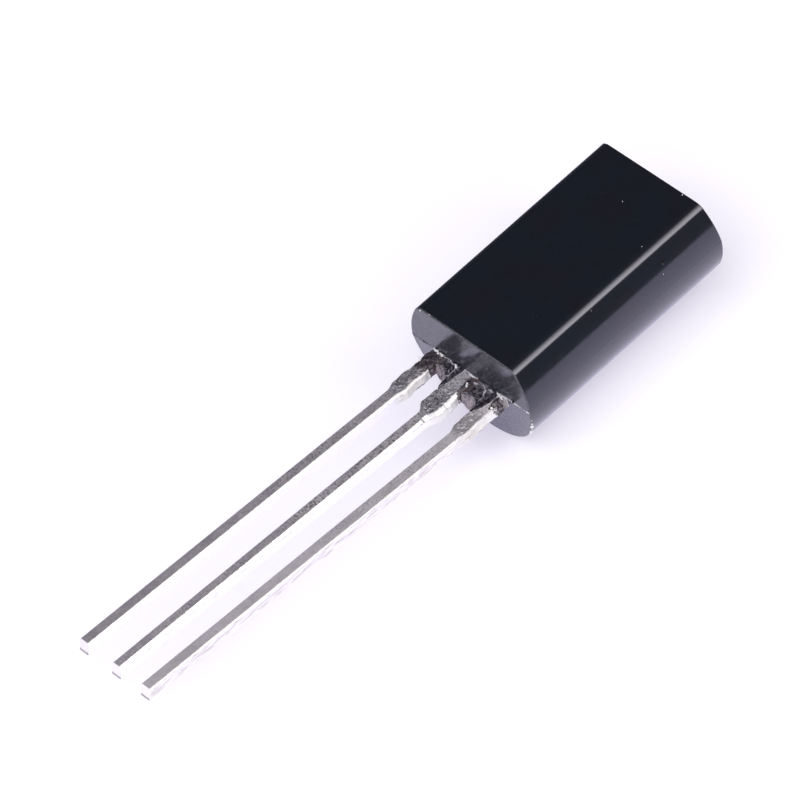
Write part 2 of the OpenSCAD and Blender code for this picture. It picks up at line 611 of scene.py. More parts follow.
@dataclass(frozen=True)
class TinWithResidue:
    """Tin plate with matte granular tops and bright sheared sides, and burnt-on resin at its root."""

    shade: float
    speckle: float
    chalk: float
    # Strength of the painted highlights on the wrinkle ridges and the painted shade between them.
    painted_wrinkle_shading: float
    cool: Colour
    root_speckle: float = 1.0
    metal: float = 0.45
    blotches: float = 1.0
    specks: float = 0.1
    gleam: float = 1.0
    tin: Colour = (0.62, 0.57, 0.635)
    pale: Colour = (0.88, 0.83, 0.90)
    pit: Colour = (0.17, 0.155, 0.175)
    tarnish: Colour = (0.27, 0.25, 0.275)
    sheared: Colour = (0.91, 0.90, 0.86)
    cream: Colour = (0.97, 0.94, 0.965)
    bevel: Colour = (0.80, 0.81, 0.88)
    shadow: Colour = (0.085, 0.075, 0.115)
    dirt: Colour = (0.64, 0.565, 0.60)
    # Colour of the painted shade along the bottom edge and round the foot of the tip.
    painted_bottom_shade: Colour = (0.10, 0.09, 0.10)
    blotch: Colour = (0.42, 0.41, 0.40)
    residue: Colour = (0.026, 0.017, 0.023)
    rust: Colour = (0.105, 0.064, 0.080)
    # Colour of the painted highlights on the ridges of the crust's streaks.
    painted_crust_highlight: Colour = (0.50, 0.42, 0.46)
    # Colour of the painted shade on the crust along the lead's left edge.
    painted_crust_shade: Colour = (0.012, 0.009, 0.020)
    grain: float = 0.065 * MM
    line_spread: float = 0.30 * MM
    line_count: float = 9.0
    root_length: float = 1.0 * MM

    def material(self, name: str) -> Material:
        """Builds the material of one lead.

        Args:
            name: The material's name.

        Returns:
            The material, which reads every field of a lead but outside.
        """
        tree = Surface(name)
        grain = tree.noise(self.grain, 1.5, 0.6)
        patch = tree.noise(0.22 * MM, 3.0, 0.6)
        side = tree.attribute("sheared")
        worked = tree.attribute("wrinkle")
        trim = worked * (1 - side)
        lines = tree.noise(self.line_spread, 1.5, 0.5, 0.7) * self.line_count
        lines = abs(lines.math("FRACT", lines) - 0.5) * 2.0
        chalky = (worked * side * 2.0 * self.chalk).at_most(1.0)
        scratch = tree.noise(0.035 * MM, 3.0, 0.7, place=tree.stretched((1.0, 0.07, 1.0)))
        grimy = (tree.attribute("grime") + (scratch - 0.5) * 1.6).ramp(0.45, 0.75) * side
        top = self.top(tree, grain, patch, trim, lines)
        flank = self.flank(tree, grain, patch, chalky, grimy)
        bright = (side * (1 - chalky) * (1 - grimy * 0.7)).at_least(trim * 0.6)
        plate = tree.principled(
            Base_Color=tree.mix(side, top, flank),
            Metallic=(self.metal + (1 - self.metal) * bright) * (1 - chalky * 0.8),
            Roughness=0.52 - 0.24 * bright,
            Normal=tree.bump(lines * trim, 0.010 * MM, 0.8,
                             tree.bump(grain * (1 - 0.8 * side), 0.012 * MM)),
        )
        edge = tree.noise(0.09 * MM, 4.0, 0.65)
        cover = (tree.attribute("residue") + (edge - 0.5) * 1.8).ramp(0.45, 0.55)
        crust = self.crust(tree, patch)
        return tree.finish(tree.output("ShaderNodeMixShader", {0: cover, 1: plate, 2: crust}))

    def top(self, tree: Surface, grain: Value, patch: Value, trim: Value,
            lines: Value) -> Socket:
        """Colours the matte top: speckled and tarnished, with painted highlights on the wrinkle ridges and
        painted shade between them where the dam bar was trimmed, and painted shadow along its left edge.

        Args:
            tree: The lead's tree.
            grain: The fine noise of the plate.
            patch: A broader noise.
            trim: 1 where the top is wrinkled.
            lines: The height of the wrinkles.

        Returns:
            The colour.
        """
        tin, pale = dimmed(self.tin, self.shade), dimmed(self.pale, self.shade)
        exit_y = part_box("body")[0].y + self.root_length
        near = tree.along_y(exit_y - 8.5 * MM, exit_y - 6.0 * MM, 0.4, 1.0)
        root = tree.along_y(exit_y - 2.6 * MM, exit_y - 0.8 * MM)
        speck = tree.noise(1.1 * MM, 1.0).ramp(0.42, 0.6, 0.7, 1.0) * near * self.speckle
        speck = speck * (1 + root * (self.root_speckle - 1))
        colour = tree.mix((grain.ramp(0.52, 0.62) * speck).at_most(1.0), tin, pale)
        colour = tree.mix((grain.ramp(0.46, 0.36) * speck).at_most(1.0), colour, self.pit)
        dull = (tree.attribute("tarnish") + (patch - 0.5) * 1.2 + (grain - 0.5)).ramp(0.25, 1.1)
        colour = tree.mix(dull, colour, self.tarnish)
        broad = tree.noise(1.3 * MM, 1.0).ramp(0.40, 0.60) * (1 - root)
        colour = tree.mix(broad * 0.16, colour, self.pit)
        colour = tree.mix(root, colour, self.cool, "MULTIPLY")
        colour = tree.mix(trim * 0.3, colour, pale)
        # Painted highlights on the wrinkle ridges and painted shade in the hollows between them.
        colour = tree.mix(trim * lines.ramp(0.70, 0.92) * self.painted_wrinkle_shading, colour, pale)
        colour = tree.mix(trim * lines.ramp(0.42, 0.12) * 0.65 * self.painted_wrinkle_shading, colour, self.pit)
        return tree.mix(tree.attribute("shadow") * patch.ramp(0.3, 0.6, 0.7, 1.0), colour, self.shadow)

    def flank(self, tree: Surface, grain: Value, patch: Value, chalky: Value,
              grimy: Value) -> Socket:
        """Colours the sheared sides: bright, chalky and blotched near the case, dirty low down, darker next
        to the case, and dark with painted shade along the bottom edge near the dam bar and round the foot of
        the tip.

        Args:
            tree: The lead's tree.
            grain: The fine noise of the plate.
            patch: A broader noise.
            chalky: 1 where the side is chalky.
            grimy: 1 where the side is dirty, next to the case, and under the painted shade of the bottom
                edge.

        Returns:
            The colour.
        """
        colour = tree.mix(chalky, self.sheared, self.cream)
        colour = tree.mix(grimy * 0.8, colour, self.dirt)
        spots = chalky * patch.ramp(0.50, 0.62) * grain.ramp(0.62, 0.4) * 0.6 * self.blotches
        colour = tree.mix(spots, colour, self.blotch)
        # Painted shade: where the grime field passes 1.3, along the bottom edge near the dam bar and round
        # the foot of the tip, the side turns dark.
        colour = tree.mix(tree.attribute("grime").ramp(1.3, 1.8), colour, self.painted_bottom_shade)
        return tree.mix(tree.attribute("bevel") * (1 - chalky), colour, dimmed(self.bevel, self.gleam))

    def crust(self, tree: Surface, patch: Value) -> Socket:
        """Builds the burnt resin: brown, with painted highlights along its streaks, and black with painted
        shade along the lead's shadowed left edge.

        Args:
            tree: The lead's tree.
            patch: A broad noise.

        Returns:
            The shader.
        """
        streak = tree.noise(0.12 * MM, 3.5, 0.65, 1.2, tree.stretched((1.0, 0.5, 1.0)))
        burnt = tree.mix(streak.ramp(0.42, 0.60), self.residue, self.rust)
        # Painted highlights: pale pinkish streaks where the crust's bump rises.
        burnt = tree.mix(streak.ramp(0.55, 0.64) * patch.ramp(0.40, 0.55), burnt, self.painted_crust_highlight)
        mottle = tree.noise(0.11 * MM, 2.5, 0.6)
        burnt = tree.mix(mottle.ramp(0.52, 0.60) * self.specks, burnt, self.cream)
        # Painted shade: the crust turns blue-black along the lead's left edge, by the shadow field.
        return tree.principled(
            Base_Color=tree.mix((tree.attribute("shadow") * 1.6).at_most(1.0), burnt, self.painted_crust_shade),
            Roughness=streak.ramp(0.3, 0.7, 0.22, 0.4),
            IOR=1.6,
            Normal=tree.bump(streak, 0.03 * MM),
        )


@dataclass(frozen=True)
class Grit:
    """Broken resin and dust, from black to white by the field pale."""

    black: Colour = (0.006, 0.006, 0.008)
    white: Colour = (0.86, 0.84, 0.90)

    def material(self) -> Material:
        """Builds the material of the chips and the dust.

        Returns:
            The material, which reads the field pale.
        """
        tree = Surface("grit")
        mottled = tree.noise(0.03 * MM, 2.0, 0.6)
        pale = (tree.attribute("pale") + (mottled - 0.5) * 0.8).ramp(0.35, 0.75)
        return tree.finish(tree.principled(
            Base_Color=tree.mix(pale, self.black, self.white),
            Roughness=0.3 + mottled * 0.2,
            Normal=tree.bump(mottled, 0.006 * MM),
        ))


@dataclass(frozen=True)
class Metal:
    """A plain metal or silicon finish for what is sealed inside the case."""

    name: str
    colour: Colour
    dark: Colour
    roughness: float
    grain: float
    metallic: float = 1.0

    def material(self) -> Material:
        """Builds the material, a little darker in fine patches.

        Returns:
            The material.
        """
        tree = Surface(self.name)
        grain = tree.noise(self.grain, 3.0, 0.6)
        return tree.finish(tree.principled(
            Base_Color=tree.mix(grain.ramp(0.4, 0.65), self.colour, self.dark),
            Metallic=self.metallic,
            Roughness=grain.ramp(0.3, 0.7, self.roughness * 0.8, self.roughness * 1.25),
            Normal=tree.bump(grain, 0.002 * MM, 0.4),
        ))


# ---------------------------------------------------------------- the case


@dataclass
class Case:
    """The moulded case: a round back cut by a flat face, in two halves that meet at the axis."""

    resin: Material
    length: float = 8.0 * MM
    edge_radius: float = 0.4 * MM
    lean_front: float = 0.11 * MM
    lean_back: float = 0.14 * MM
    lean_back_far: float = 0.05 * MM
    rim_radius: float = 0.035 * MM
    rim_steps: int = 4
    support: float = 0.05 * MM
    ridge: float = 0.002 * MM
    ridge_width: float = 0.05 * MM
    arc_step: float = math.radians(0.6)
    corner_steps: int = 24
    chip_depth: float = 0.035 * MM
    chip_size: float = 0.09 * MM
    crease_angle: float = math.radians(6)

    def __post_init__(self) -> None:
        """Takes the outer sizes from the frame. The parting plane holds the axis of the round back."""
        low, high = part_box("body")
        self.radius = self.parting_z = (high.x - low.x) / 2
        self.flat_z = high.z
        self.top_y = high.y
        self.exit_y = self.top_y - self.length
        self.edge_z = self.flat_z - self.parting_z - self.edge_radius
        self.edge_x = math.sqrt((self.radius - self.edge_radius) ** 2 - self.edge_z ** 2)

    def outline(self) -> list[Row]:
        """Follows the section of the case once round, clockwise from the left end of the flat.

        Returns:
            For each point its X and Z, and the X and Z of its outward direction.
        """
        turn = math.atan2(self.edge_z, self.edge_x)
        points: list[Row] = []

        def arc(x: float, z: float, radius: float, start: float, end: float, count: int) -> None:
            """Adds an arc, without its last point.

            Args:
                x: X of its middle.
                z: Z of its middle.
                radius: Its radius.
                start: The angle that it starts at.
                end: The angle that it ends at.
                count: How many points it adds.
            """
            for step in range(count):
                angle = start + (end - start) * step / count
                across, up = math.cos(angle), math.sin(angle)
                points.append((x + radius * across, z + radius * up, across, up))

        for share in (0.0, 0.01, 0.1, 0.3, 0.5, 0.7, 0.9, 0.99):
            points.append((-self.edge_x + 2 * self.edge_x * share, self.flat_z, 0.0, 1.0))
        half, side = math.pi / 2, round(turn / self.arc_step)
        edge = self.parting_z + self.edge_z
        arc(self.edge_x, edge, self.edge_radius, half, turn, self.corner_steps)
        arc(0.0, self.parting_z, self.radius, turn, 0.0, side)
        arc(0.0, self.parting_z, self.radius, 0.0, -math.pi, round(math.pi / self.arc_step))
        arc(0.0, self.parting_z, self.radius, math.pi, math.pi - turn, side)
        arc(-self.edge_x, edge, self.edge_radius, math.pi - turn, half, self.corner_steps)
        return points

    def end_y(self, z: float, front: bool) -> float:
        """Finds where an end face is.

        Args:
            z: The height.
            front: True for the end with the leads.

        Returns:
            Its Y there.
        """
        above = max(0.0, (z - self.parting_z) / (self.flat_z - self.parting_z))
        below = max(0.0, (self.parting_z - z) / self.parting_z)
        lean = self.lean_front * above + (self.lean_back if front else self.lean_back_far) * below
        return self.exit_y + lean if front else self.top_y - lean

    def shell(self) -> Piece:
        """Builds the closed outer shell, with rounded rims, a parting ridge and a few chips.

        Returns:
            The shell as an object.
        """
        outline = self.outline()
        angles = [math.pi / 2 * step / self.rim_steps for step in range(self.rim_steps + 1)]
        rim = [(self.rim_radius * (1 - math.sin(a)), self.rim_radius * (1 - math.cos(a))) for a in angles]
        rim.append((0.0, self.rim_radius + self.support))
        points: list[Point] = []
        worn: list[float] = []
        for front in (True, False):
            for inset, along in rim if front else reversed(rim):
                for x, z, across, up in outline:
                    near = abs(z - self.parting_z) / self.ridge_width
                    swell = self.ridge * max(0.0, 1 - near) if abs(x) > self.radius / 2 else 0.0
                    deep = inset + (self.chip(x, z) if front else 0.0) * (inset > 0) - swell
                    y = self.end_y(z, front) + (along if front else -along)
                    points.append((x - across * deep, y, z - up * deep))
                    worn.append(1.0 if front and 0.0 < along <= self.rim_radius else 0.0)
        width = len(outline)
        faces = rows_to_faces(2 * len(rim), width)
        right, left = [i for i, (x, z, _, _) in enumerate(outline) if abs(z - self.parting_z) < 1e-9]
        for first in (0, len(points) - width):
            faces.append(tuple(first + i for i in range(right, left + 1)))
            faces.append(tuple(first + i for i in (*range(left, width), *range(right + 1))))
        shell = add_object("case_shell", points, faces, self.resin)
        set_fields(shell, {"worn": worn})
        # The field film marks the two front end faces, whose pale lavender film is partly painted reflection.
        set_fields(shell, {"film": [0.0] * (len(faces) - 4) + [1.0, 1.0, 0.0, 0.0]}, "FACE")
        return shell

    def height(self, x: float) -> float:
        """Finds the case's upper surface.

        Args:
            x: The place across, within the width of the case.

        Returns:
            The height of the surface there.
        """
        past = abs(x) - self.edge_x
        if past <= 0:
            return self.flat_z
        if abs(x) < self.edge_x * self.radius / (self.radius - self.edge_radius):
            return self.parting_z + self.edge_z + math.sqrt(self.edge_radius ** 2 - past ** 2)
        return self.parting_z + math.sqrt(self.radius ** 2 - x * x)

    def chip(self, x: float, z: float) -> float:
        """Finds the chips on the front rim, which lie low on the right side.

        Args:
            x: The place across.
            z: The height.

        Returns:
            Their depth there.
        """
        up = z / self.parting_z
        where = smooth(0.8, 0.9, x / self.radius) * smooth(0.5, 0.62, up) * smooth(1.04, 0.98, up)
        return self.chip_depth * where * max(0.0, rough((x, z, 0.0), self.chip_size))

    def build(self, cutters: Iterable[str]) -> Piece:
        """Builds the case with the space for what is sealed in it.

        Args:
            cutters: Names of the CAD nodes that fill that space.

        Returns:
            The finished case.
        """
        case = self.shell()
        for name in cutters:
            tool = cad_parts[name].copy()
            tool.data = tool.data.copy()
            bpy.context.scene.collection.objects.link(tool)
            merged = bmesh.new()
            merged.from_mesh(tool.data)
            bmesh.ops.remove_doubles(merged, verts=merged.verts, dist=1e-7)
            merged.to_mesh(tool.data)
            merged.free()
            cut = case.modifiers.new(name, "BOOLEAN")
            cut.operation = "DIFFERENCE"
            cut.solver = "EXACT"
            cut.object = tool
            bake(case)
            bpy.data.objects.remove(tool)
        case.data.set_sharp_from_angle(angle=self.crease_angle)
        case.modifiers.new("even", "WEIGHTED_NORMAL").keep_sharp = True
        bake(case)
        case.name = "moulded_case"
        return case


# ---------------------------------------------------------------- the leads


@dataclass(frozen=True)
class Smear:
    """A patch of resin residue on a lead: its middle, its reach, and its strength on top and sides."""

    across: float
    along: float
    reach_across: float
    reach_along: float
    strength: float
    sides: float

    def at(self, across: float, along: float, side: float) -> float:
        """Finds how strong the residue is at a place on the lead.

        Args:
            across: Distance from the lead's middle line.
            along: Distance from the case along the lead.
            side: 0 on the top and 1 on a side face.

        Returns:
            The strength.
        """
        a = (across - self.across) / self.reach_across
        b = (along - self.along) / self.reach_along
        return (self.strength + (self.sides - self.strength) * side) * math.exp(-(a * a + b * b))


# Above 1.3, grime also carries the painted shade of the bottom edge and of the tip's foot.
LEAD_FIELDS = ("residue", "tarnish", "sheared", "grime", "outside", "wrinkle", "shadow", "bevel")


@dataclass
class Lead:
    """One stamped lead, from its end inside the case to its sheared tip.

    Bevels are given as distances from the case and the widths there, a bite as its side, middle,
    reach and depth, and the inside as rows of where it starts, its left side and its right side.
    """

    node: str
    case: Case
    centre: float
    root_width: float
    inside: tuple[Point, ...]
    left_bevels: Pair
    right_bevels: tuple[Pair, ...]
    smears: tuple[Smear, ...]
    grime: float
    tone: float
    # Strength of the painted shade along the bottom edge.
    painted_bottom_shade: float
    seed: float
    shifts: Pair = (0.0, 0.0)
    bites: tuple[tuple[Side, float, float, float], ...] = ()
    rim: float = 1.0
    rim_reach: float = 0.11 * MM
    left_ear: float = 0.05 * MM
    width: float = 0.38 * MM
    thickness: float = 0.38 * MM
    stub_start: float = 1.05 * MM
    stub_length: float = 0.65 * MM
    taper: float = 0.24 * MM
    emerge: float = 0.1 * MM
    bend_after: float = 0.1 * MM
    bend_reach: float = 0.12 * MM
    sharp: float = 0.01 * MM
    bottom_round: float = 0.035 * MM
    bevel_angle: float = math.radians(39)
    bevel_shares: Row = (0.0, 0.15, 0.5, 0.85, 1.0)
    wobble: float = 0.13 * MM
    burr: float = 0.035 * MM
    burr_reach: float = 0.55 * MM
    tip_slant: float = 0.12 * MM
    tip_reach: float = 0.4 * MM
    tip_shares: Row = (0.97, 0.85, 0.6, 0.3)
    # Strength of the painted shade round the foot of the tip.
    tip_foot_shade: float = 1.62
    fine_step: float = 0.020 * MM
    coarse_step: float = 0.036 * MM
    side_steps: int = 10
    top_steps: int = 28
    corner_steps: int = 4
    crease_angle: float = math.radians(50)

    def __post_init__(self) -> None:
        """Takes the reach of the lead from the frame."""
        low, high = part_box(self.node)
        self.stub_end = self.stub_start + self.stub_length
        self.bend = self.stub_end + self.bend_after
        self.reach = self.case.exit_y - low.y
        self.slope = (high.z - self.case.parting_z) / (self.reach - self.bend)

    def ragged(self, along: float, side: Side) -> float:
        """Finds how uneven one edge of the lead is, which is most around the cut dam bar.

        Args:
            along: Distance from the case along the lead.
            side: Which side.

        Returns:
            How far the edge stands out there.
        """
        fine = rough((along / (0.11 * MM), side.value * 7 + self.seed, 0.0))
        broad = rough((along / (0.35 * MM), side.value * 3 - self.seed, 5.0))
        worked = smooth(0.0, 0.15 * MM, along) * smooth(self.stub_end + 2 * self.taper, self.stub_end, along)
        return (fine * 0.004 + broad * 0.03) * MM * worked + fine * 0.002 * MM * smooth(0, self.emerge, along)

    def edge(self, along: float, side: Side) -> float:
        """Finds one side face of the lead.

        Args:
            along: Distance from the case along the lead, below zero inside it.
            side: Which side.

        Returns:
            Its X.
        """
        if along < 0:
            for start, left, right in self.inside:
                if along >= start:
                    return left if side is Side.LEFT else right
        root = self.root_width / 2
        stub = root + (self.left_ear if side is Side.LEFT else 0.0)
        half = through([
            (self.stub_start - 0.08 * MM, root),
            (self.stub_start + 0.04 * MM, stub),
            (self.stub_end - 0.1 * MM, stub),
            (self.stub_end + self.taper, self.width / 2),
        ], along)
        for bitten, middle, reach, depth in self.bites:
            if bitten is side:
                half -= depth * bell(along - middle, reach)
        middle = self.centre + self.between_ends(self.shifts, along) * smooth(0.0, 0.3 * MM, along)
        return middle + side.value * (half + self.ragged(along, side))

    def between_ends(self, values: Pair, along: float) -> float:
        """A size that changes evenly from its value at the root to its value at the tip."""
        return values[0] + (values[1] - values[0]) * clamp(along / self.reach)

    def hang(self, along: float) -> float:
        """Finds how far the burr of the cut dam bar hangs below the lead.

        Args:
            along: Distance from the case along the lead.

        Returns:
            The distance.
        """
        uneven = 0.6 + 1.3 * rough((along / self.wobble, self.seed, 9.0))
        middle = self.stub_start + self.stub_length / 2
        return self.burr * uneven * bell(along - middle, self.burr_reach) if along > 0 else 0.0

    def top(self, along: float) -> Pair:
        """Finds the top face of the lead.

        Args:
            along: Distance from the case along the lead.

        Returns:
            Its height over the parting plane, and its slope.
        """
        if along <= 0:
            return 0.0, 0.0
        past = along - self.bend
        root = math.hypot(past, self.bend_reach)
        start = math.hypot(-self.bend, self.bend_reach) - self.bend
        return self.slope * (root + past - start) / 2, self.slope * (1 + past / root) / 2

    def section(self, along: float) -> list[Pair]:
        """Follows the section of the lead once round, from the left end of its top face.

        The top's right edge has an uneven bevel, and the other edges are rounded.

        Args:
            along: Distance from the case along the lead, below zero inside it.

        Returns:
            Pairs of X and height over the lead's own top plane.
        """
        left, right = self.edge(along, Side.LEFT), self.edge(along, Side.RIGHT)
        bottom = -self.thickness - self.hang(along)
        swing = 0.1 + 0.25 * smooth(2.6 * MM, 1.6 * MM, along)
        uneven = 1 + swing * rough((along / self.wobble, self.seed, 21.0))
        sizes = (through(self.right_bevels, along) * uneven, self.bottom_round,
                 self.between_ends(self.left_bevels, along))
        free = smooth(0.0, self.emerge, along)
        bevel, under, upper = (self.sharp + (size - self.sharp) * free for size in sizes)
        fall = bevel * math.tan(self.bevel_angle)
        points = [(right - bevel * (1 - share), -fall * share) for share in self.bevel_shares]
        for x, z, radius, start in (
            (right - under, bottom + under, under, 0.0),
            (left + under, bottom + under, under, -90.0),
            (left + upper, -upper, upper, -180.0),
        ):
            arc = []
            for step in range(self.corner_steps + 1):
                angle = math.radians(start - 90.0 * step / self.corner_steps)
                arc.append((x + radius * math.cos(angle), z + radius * math.sin(angle)))
            points += self.between(points[-1], arc[0], self.side_steps) + arc
        return points + self.between(points[-1], points[0], self.top_steps)

    @staticmethod
    def between(first: Pair, last: Pair, steps: int) -> list[Pair]:
        """The points that part a line into equal steps, without its two ends."""
        (x, z), across, up = first, last[0] - first[0], last[1] - first[1]
        return [(x + across * step / steps, z + up * step / steps) for step in range(1, steps)]

    def stations(self) -> list[float]:
        """Lists the places along the lead where it has a section.

        Returns:
            Their distances from the case, from the inner end outwards.
        """
        found: list[float] = []
        for start, _, _ in self.inside:
            found += [start, start + 1e-6 * MM]
        found = sorted(found)[1:]
        along = 0.0
        while along < self.reach - self.coarse_step / 2:
            found.append(along)
            along += self.fine_step if along < self.bend + 0.6 * MM else self.coarse_step
        return found + [self.reach]

    def place(self, along: float, x: float, height: float) -> Point:
        """Finds where a point of a section lies in the frame of the part.

        Args:
            along: The section's distance from the case along the lead.
            x: X of the point.
            height: Its height over the lead's own top plane.

        Returns:
            The place.
        """
        rise, slope = self.top(along)
        angle = math.atan(slope)
        slant = self.tip_slant * max(0.0, 1 - (self.reach - along) / self.tip_reach) ** 2
        y = self.case.exit_y - along + height * math.sin(angle) + slant * height / self.thickness
        return x, y, self.case.parting_z + rise + height * math.cos(angle)

    def finish(self, along: float, ring: Sequence[Pair]) -> list[Row]:
        """Works out what the surface of one section is like.

        Args:
            along: Distance from the case along the lead, below zero inside it.
            ring: The section.

        Returns:
            For each of its points the LEAD_FIELDS.
        """
        free = smooth(0.0, self.emerge, along)
        stub = smooth(0.7 * MM, 1.1 * MM, along) * smooth(2.4 * MM, 1.6 * MM, along)
        end = self.stub_end + self.taper
        trim = free * (0.35 + 0.65 * smooth(0.6 * MM, 1.0 * MM, along))
        trim *= smooth(end + 0.2 * MM, end - 0.3 * MM, along)
        shade = free * (0.36 + 0.1 * stub) * self.rim
        dirty = self.grime * smooth(0.8 * MM, 1.4 * MM, along)
        # Painted shade along the bottom edge near the dam bar, carried in the grime field.
        underside_shade = 2.5 * self.painted_bottom_shade * smooth(0.4 * MM, 0.5 * MM, along) * smooth(1.3 * MM, 1.2 * MM, along)
        # The sides also turn darker next to the case, through the grime field.
        dark = 0.8 * smooth(0.22 * MM, 0.12 * MM, along)
        found = []
        for number, (x, height) in enumerate(ring):
            side = smooth(0.0, -0.02 * MM, height) if along > 0 else 0.0
            low = bell(height + 0.6 * self.thickness, 0.28 * MM)
            under = smooth(-0.86 * self.thickness, -0.97 * self.thickness, height)
            found.append((
                sum(smear.at(x - self.centre, along, side) for smear in self.smears) * free,
                self.tone,
                side,
                dirty * low + dark + underside_shade * under,
                free,
                trim * (1 - 0.5 * side),
                shade * smooth(self.rim_reach, 0.02 * MM, x - ring[-1][0]),
                side if 0 < number < len(self.bevel_shares) else 0.0,
            ))
        return found

    def build(self, tin: Material, skin: Recipe) -> Piece:
        """Builds the lead.

        Args:
            tin: Its finish.
            skin: The recipe that gives it its granular, wrinkled surface.

        Returns:
            The finished lead.
        """
        points: list[Point] = []
        fields: list[Row] = []
        ring: list[Pair] = []
        for along in self.stations():
            ring = self.section(along)
            points += [self.place(along, x, height) for x, height in ring]
            fields += self.finish(along, ring)
        tip = [Vector(point) for point in points[-len(ring):]]
        middle = sum(tip, Vector()) / len(ring)
        for share in self.tip_shares:
            for (_, height), point in zip(ring, tip):
                points.append(tuple(middle + (point - middle) * share))
                # Painted shade: a dark outline along the foot of the tip's end face, carried in the grime
                # field.
                foot = smooth(-0.85 * self.thickness, -0.95 * self.thickness, height)
                dirt = self.tip_foot_shade * foot * smooth(0.6, 0.85, share)
                fields.append((0.0, 0.0, 1.0, dirt, 1.0, 0.0, 0.0, 0.0))
        named = dict(zip(LEAD_FIELDS, zip(*fields)))
        lead = add_tube(f"{self.node}_tinned", points, len(ring), named, tin)
        skin.run(lead, tin, Grain_size=0.05 * MM, Grain_depth=0.010 * MM,
                 Wrinkle_size=0.14 * MM, Wrinkle_depth=0.014 * MM, Crust_depth=0.03 * MM, Seed=self.seed)
        lead.data.set_sharp_from_angle(angle=self.crease_angle)
        return lead


def rough_skin() -> Recipe:
    """Builds the tree that gives leads and webs their granules, their wrinkles and their crust.

    Returns:
        The tree, which reads the fields outside, wrinkle and residue.
    """
    tree = Recipe("rough_skin", "Grain size", "Grain depth", "Wrinkle size", "Wrinkle depth",
                  "Crust depth", "Seed")

    def pattern(size: str, detail: float) -> Value:
        """Adds a noise.

        Args:
            size: The name of the input that holds the size of its patches.
            detail: How many finer octaves it has.

        Returns:
            The noise, about from -0.5 to 0.5.
        """
        return tree.value("ShaderNodeTexNoise", 0, {"noise_dimensions": "4D"}, {
            "Vector": tree.place, "W": tree.size("Seed"), "Scale": 1.0 / tree.size(size),
            "Detail": detail, "Distortion": 0.5}) - 0.5

    grains = pattern("Grain size", 1.5) * tree.size("Grain depth") * tree.field("outside")
    ridges = (1.0 - abs(pattern("Wrinkle size", 3.0)) * 6.0).at_least(0.0)
    folds = ridges * tree.size("Wrinkle depth") * tree.field("wrinkle")
    crust = (tree.field("residue") + pattern("Wrinkle size", 1.0)).ramp(0.3, 0.9) * tree.size("Crust depth")
    return tree.close(tree.pushed_out(tree.geometry, grains + folds + crust))


# ---------------------------------------------------------------- the resin between the leads


@dataclass(frozen=True)
class Crease:
    """A raised pale crease on the resin between two leads, or a dark furrow of height below zero.

    It runs between two places, each given as X and distance from the case.
    """

    start: Pair
    end: Pair
    width: float
    height: float
    waver: float = 0.05 * MM
    grain: float = 0.12 * MM

    def at(self, x: float, along: float) -> float:
        """Finds how near a place is to the crease.

        Args:
            x: The place across.
            along: Its distance from the case.

        Returns:
            The nearness, from 0 to 1.
        """
        place = Vector((x, along, 0.0)) / self.grain
        offset = (x + rough(place) * self.waver - self.start[0],
                  along + rough(place + Vector((0.0, 0.0, 7.0))) * self.waver - self.start[1])
        run = (self.end[0] - self.start[0], self.end[1] - self.start[1])
        share = clamp((run[0] * offset[0] + run[1] * offset[1]) / (run[0] ** 2 + run[1] ** 2))
        return bell(math.hypot(offset[0] - run[0] * share, offset[1] - run[1] * share), self.width)


FLASH_FIELDS = ("crease", "milk", "residue", "cut", "outside", "wrinkle")


